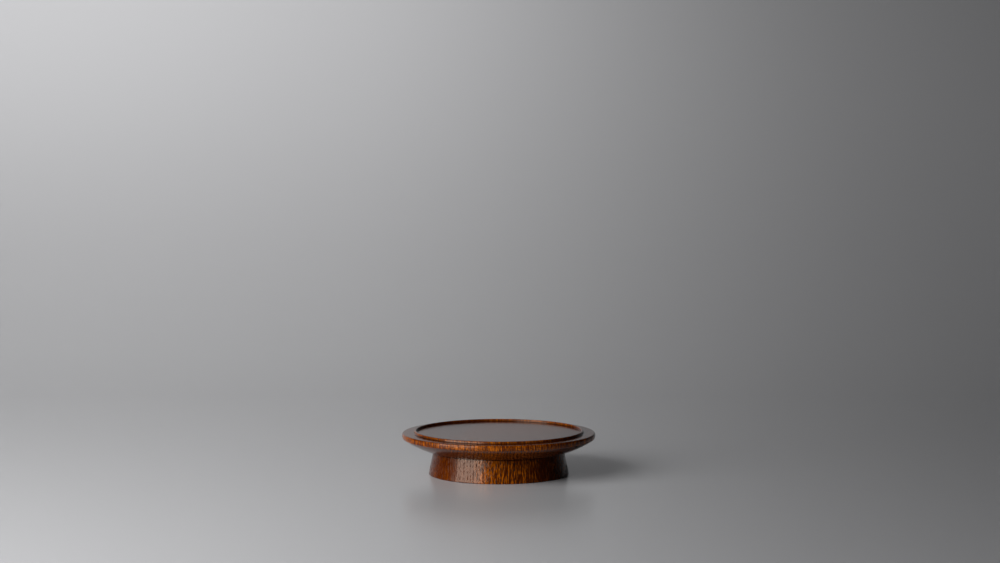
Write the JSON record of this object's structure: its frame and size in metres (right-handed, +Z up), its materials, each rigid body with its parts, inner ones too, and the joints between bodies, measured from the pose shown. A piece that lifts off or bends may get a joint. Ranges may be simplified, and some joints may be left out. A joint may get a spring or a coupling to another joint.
{
  "type": "sake cup stand",
  "caption": "Low turned wooden stand: a round dish with a raised bead ring on top, glued to a hollow foot that flares towards the table.",
  "frame": {"origin": "where the turning axis meets the surface that the foot stands on", "axes": "+Z up the turning axis, from the foot to the dish; X and Y alike, because the stand is round"},
  "size_m": [0.09, 0.09, 0.0204],
  "materials": {
    "dish_wood": "clear brown lacquer wiped into open-grained wood, glossy",
    "foot_wood": "clear brown lacquer wiped into open-grained wood, glossy"
  },
  "bodies": {
    "root": {"dish": "dish_wood", "foot": "foot_wood"}
  },
  "joints": []
}
